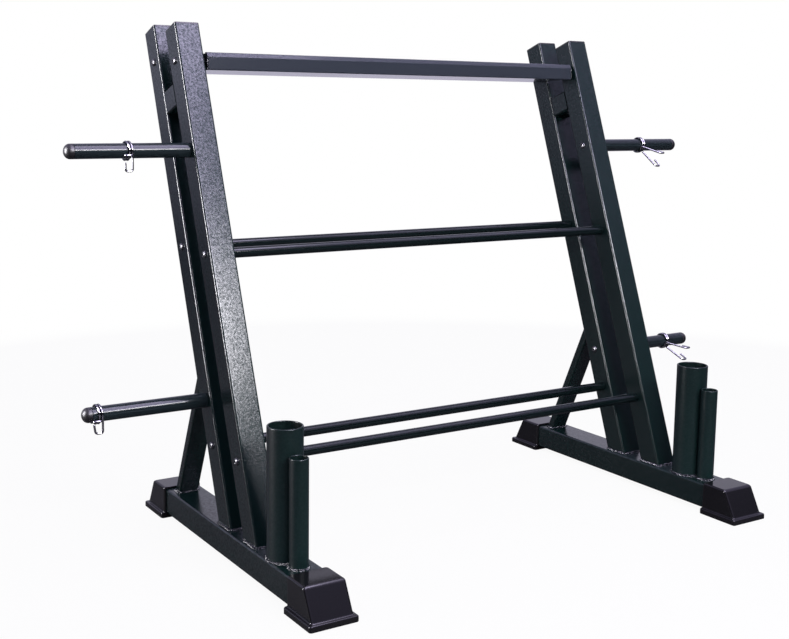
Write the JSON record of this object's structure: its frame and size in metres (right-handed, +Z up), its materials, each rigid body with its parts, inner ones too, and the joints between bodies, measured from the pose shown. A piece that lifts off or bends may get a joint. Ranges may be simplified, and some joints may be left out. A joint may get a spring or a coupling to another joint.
{
  "type": "barbell storage rack",
  "caption": "Free-standing rack with two leaning side frames, a top tray, paired round rails, side plate horns with spring collars and upright bar tubes.",
  "frame": {"origin": "on the floor, at the centre of the bounding box's bottom face", "axes": "+X across the rack to the right as seen from the front, +Y from the front to the back, +Z up"},
  "size_m": [1.488, 0.7125, 0.9757],
  "materials": {
    "powder_coat": "satin powder coat",
    "black_plastic": "semi-gloss moulded",
    "black_fastener": "black oxide",
    "chrome_wire": "bright plated"
  },
  "bodies": {
    "rack": {"left_base_tube": "powder_coat", "left_front_upright": "powder_coat", "left_rear_upright": "powder_coat", "left_rear_brace": "powder_coat", "left_upright_spacer": "powder_coat", "left_large_bar_tube": "powder_coat", "left_small_bar_tube": "powder_coat", "left_upper_horn": "powder_coat", "left_lower_horn": "powder_coat", "left_front_foot": "black_plastic", "left_rear_foot": "black_plastic", "left_front_upright_cap": "black_plastic", "left_rear_upright_cap": "black_plastic", "left_upper_horn_cap": "black_plastic", "left_lower_horn_cap": "black_plastic", "left_front_tray_bush": "black_plastic", "left_rear_tray_bush": "black_plastic", "left_front_top_bolt": "black_fastener", "left_front_middle_bolt": "black_fastener", "left_front_low_bolt": "black_fastener", "left_rear_top_bolt": "black_fastener", "left_rear_middle_bolt": "black_fastener", "left_rear_low_bolt": "black_fastener", "left_upper_horn_bolt": "black_fastener", "left_lower_horn_bolt": "black_fastener", "right_base_tube": "powder_coat", "right_front_upright": "powder_coat", "right_rear_upright": "powder_coat", "right_rear_brace": "powder_coat", "right_upright_spacer": "powder_coat", "right_large_bar_tube": "powder_coat", "right_small_bar_tube": "powder_coat", "right_upper_horn": "powder_coat", "right_lower_horn": "powder_coat", "right_front_foot": "black_plastic", "right_rear_foot": "black_plastic", "right_front_upright_cap": "black_plastic", "right_rear_upright_cap": "black_plastic", "right_upper_horn_cap": "black_plastic", "right_lower_horn_cap": "black_plastic", "right_front_tray_bush": "black_plastic", "right_rear_tray_bush": "black_plastic", "right_front_top_bolt": "black_fastener", "right_front_middle_bolt": "black_fastener", "right_front_low_bolt": "black_fastener", "right_rear_top_bolt": "black_fastener", "right_rear_middle_bolt": "black_fastener", "right_rear_low_bolt": "black_fastener", "right_upper_horn_bolt": "black_fastener", "right_lower_horn_bolt": "black_fastener", "middle_front_rail": "powder_coat", "middle_rear_rail": "powder_coat", "low_front_rail": "powder_coat", "low_rear_rail": "powder_coat", "top_tray": "powder_coat"},
    "left_upper_collar": {"left_upper_spring_collar": "chrome_wire"},
    "left_lower_collar": {"left_lower_spring_collar": "chrome_wire"},
    "right_upper_collar": {"right_upper_spring_collar": "chrome_wire"},
    "right_lower_collar": {"right_lower_spring_collar": "chrome_wire"}
  },
  "joints": [
    {"name": "left_upper_collar_slide", "type": "slide", "parent": "rack", "child": "left_upper_collar", "axis": [1, 0, 0], "range_m": [-0.125, 0.1125]},
    {"name": "left_lower_collar_slide", "type": "slide", "parent": "rack", "child": "left_lower_collar", "axis": [1, 0, 0], "range_m": [-0.0365, 0.2]},
    {"name": "right_upper_collar_slide", "type": "slide", "parent": "rack", "child": "right_upper_collar", "axis": [1, 0, 0], "range_m": [-0.114, 0.123]},
    {"name": "right_lower_collar_slide", "type": "slide", "parent": "rack", "child": "right_lower_collar", "axis": [1, 0, 0], "range_m": [-0.156, 0.081]}
  ]
}
